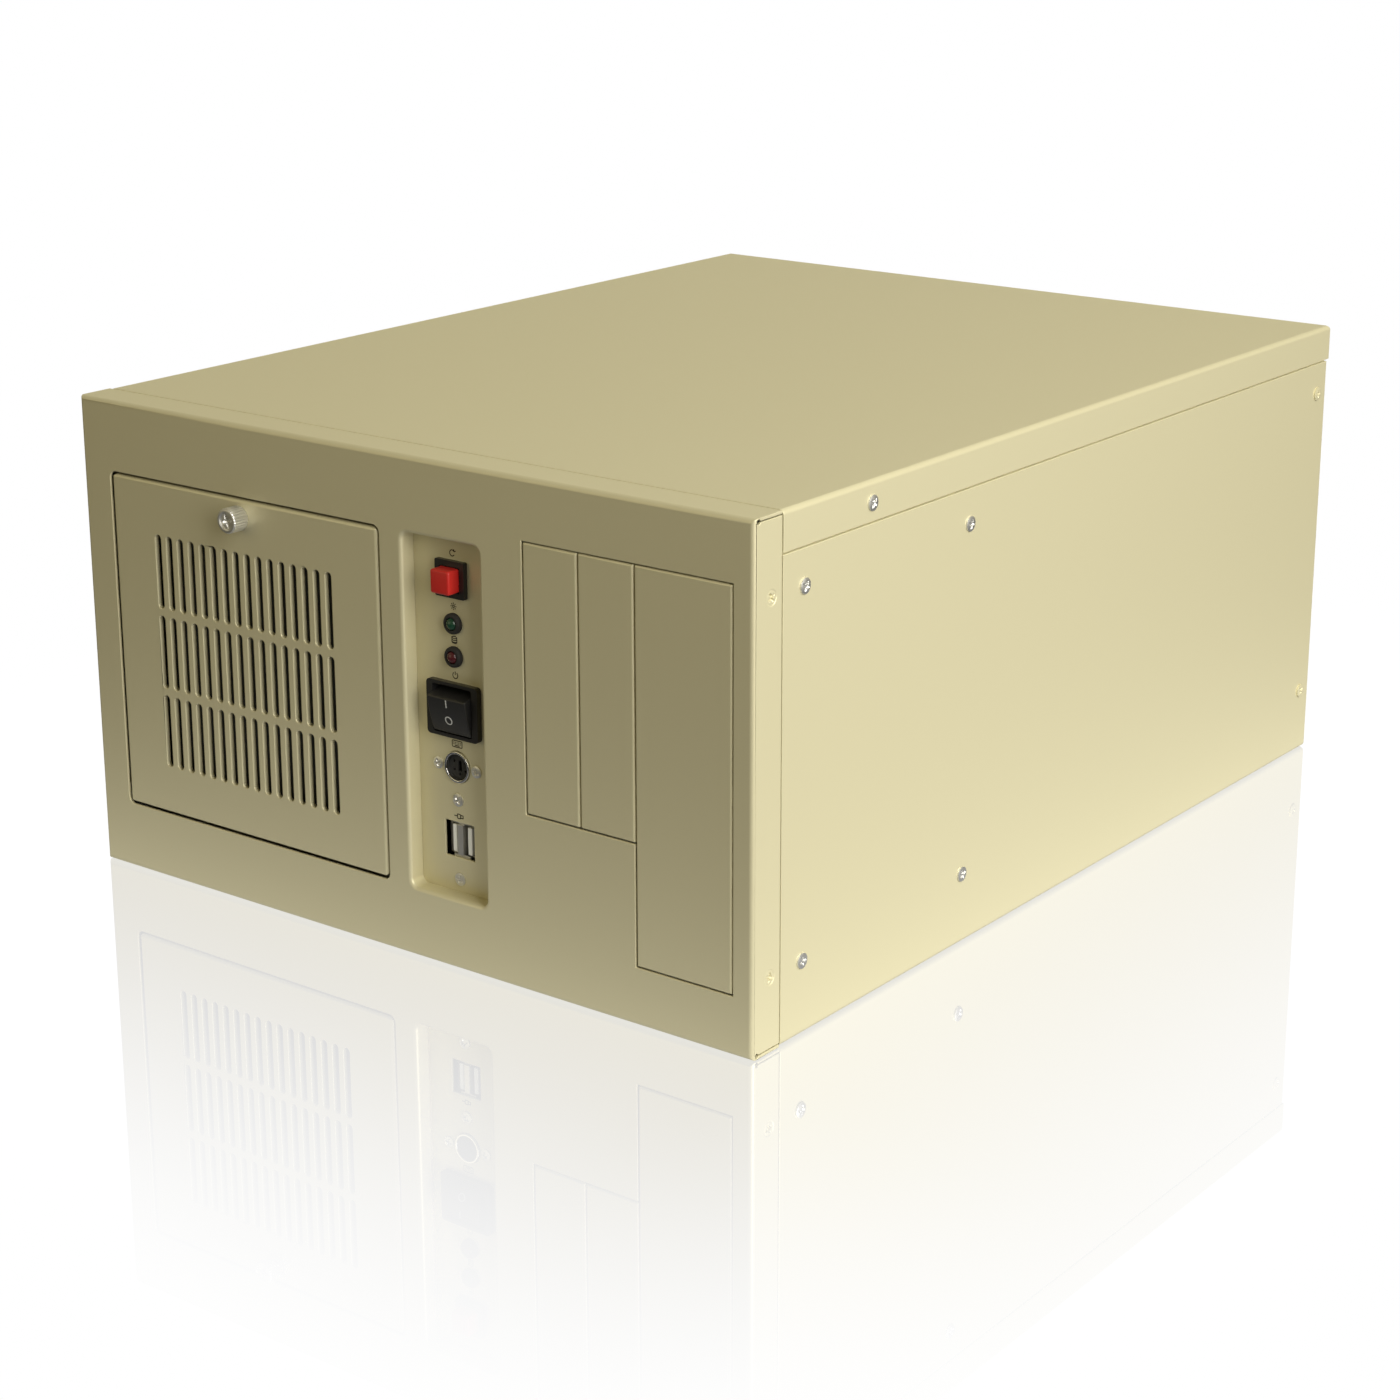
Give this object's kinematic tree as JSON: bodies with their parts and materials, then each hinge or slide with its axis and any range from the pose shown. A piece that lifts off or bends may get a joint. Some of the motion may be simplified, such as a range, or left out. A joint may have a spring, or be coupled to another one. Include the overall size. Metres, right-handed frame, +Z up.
{
  "type": "desktop computer case",
  "caption": "Industrial desktop computer in a painted steel case with a swing-down filter door, front controls, drive bays and a lift-off cover.",
  "frame": {"origin": "centre of the base, on the surface the case stands on", "axes": "+Z up, +Y from the front face to the rear panel, +X to the right seen from the front"},
  "size_m": [0.332, 0.4391, 0.195],
  "materials": {
    "beige_paint": "semi-matt powder coat",
    "zinc_sheet": "galvanised sheet",
    "bright_zinc": "bright zinc plate",
    "black_plastic": "fine matt",
    "black_switch": "satin",
    "foam": "open-cell foam",
    "red_cap": "satin",
    "green_lens": "clear tinted",
    "red_lens": "clear tinted",
    "chrome_shell": "polished",
    "nickel_shell": "nickel plate",
    "white_plastic": "matt",
    "circuit_board": "solder mask",
    "brass_spacer": "turned",
    "heatsink_aluminium": "extruded",
    "drive_aluminium": "cast and machined",
    "cable_sleeve": "braided sleeve",
    "spring_clip": "spring steel"
  },
  "bodies": {
    "chassis": {"chassis_tray": "beige_paint", "front_frame": "zinc_sheet", "front_cover": "beige_paint", "rear_panel": "beige_paint", "front_cover_screws": "beige_paint", "side_screws": "bright_zinc", "rear_panel_screws": "beige_paint", "hinge_brackets": "zinc_sheet", "door_hinge_pins": "bright_zinc", "door_standoff": "bright_zinc", "filter_tray": "black_plastic", "filter_foam": "foam", "front_fan_frame": "black_plastic", "front_fan_screws": "bright_zinc", "control_panel": "beige_paint", "reset_switch_body": "black_plastic", "lamp_holders": "black_plastic", "power_lamp": "green_lens", "disk_lamp": "red_lens", "power_switch_body": "black_switch", "keyboard_socket_shell": "chrome_shell", "keyboard_socket_insert": "black_plastic", "keyboard_socket_screws": "bright_zinc", "usb_shell": "nickel_shell", "usb_tongues": "white_plastic", "usb_screws": "bright_zinc", "narrow_bay_cover_a": "beige_paint", "narrow_bay_cover_b": "beige_paint", "wide_bay_cover": "beige_paint", "drive_cage": "zinc_sheet", "hard_drive": "drive_aluminium", "drive_screws": "bright_zinc", "backplane": "circuit_board", "backplane_sockets": "black_plastic", "backplane_spacers": "brass_spacer", "cpu_card": "circuit_board", "cpu_heatsink": "heatsink_aluminium", "memory_module": "circuit_board", "io_card": "circuit_board", "card_brackets": "zinc_sheet", "slot_covers": "zinc_sheet", "slot_screws": "bright_zinc", "hold_down_bar": "zinc_sheet", "psu_case": "zinc_sheet", "psu_inlet": "black_plastic", "psu_switch_body": "black_switch", "psu_screws": "bright_zinc", "psu_fan_guard": "chrome_shell", "internal_cables": "cable_sleeve"},
    "lid": {"top_cover": "beige_paint", "lid_screws": "bright_zinc", "lid_nuts": "bright_zinc"},
    "door": {"filter_door": "beige_paint"},
    "door_screw": {"thumb_screw": "bright_zinc", "thumb_screw_clip": "spring_clip"},
    "front_fan": {"front_fan_rotor": "black_plastic"},
    "reset": {"reset_button": "red_cap"},
    "power_switch": {"power_rocker": "black_switch"},
    "psu_fan": {"psu_fan_rotor": "black_plastic"},
    "psu_switch": {"psu_rocker": "black_switch"}
  },
  "joints": [
    {"name": "lid_lift", "type": "slide", "parent": "chassis", "child": "lid", "axis": [0, 0, 1], "range_m": [0, 0.16]},
    {"name": "door_hinge", "type": "hinge", "parent": "chassis", "child": "door", "pos_m": [-0.07755, -0.2122, 0.0317], "axis": [1, 0, 0], "range_deg": [0, 100]},
    {"name": "door_screw_turn", "type": "hinge", "parent": "door", "child": "door_screw", "pos_m": [-0.07755, -0.215, 0.1585], "axis": [0, 1, 0], "continuous": true},
    {"name": "front_fan_spin", "type": "hinge", "parent": "chassis", "child": "front_fan", "pos_m": [-0.07755, -0.186, 0.09685], "axis": [0, 1, 0], "continuous": true},
    {"name": "reset_press", "type": "slide", "parent": "chassis", "child": "reset", "axis": [0, 1, 0], "range_m": [0, 0.0016], "stiffness_N_per_m": 300, "springref_m": -0.002},
    {"name": "power_rocker_tilt", "type": "hinge", "parent": "chassis", "child": "power_switch", "pos_m": [0.02425, -0.205, 0.0999], "axis": [-1, 0, 0], "range_deg": [0, 27.4]},
    {"name": "psu_fan_spin", "type": "hinge", "parent": "chassis", "child": "psu_fan", "pos_m": [0.1191, 0.2, 0.1055], "axis": [0, 1, 0], "continuous": true},
    {"name": "psu_rocker_tilt", "type": "hinge", "parent": "chassis", "child": "psu_switch", "pos_m": [0.1407, 0.2098, 0.0325], "axis": [1, 0, 0], "range_deg": [0, 18]}
  ]
}
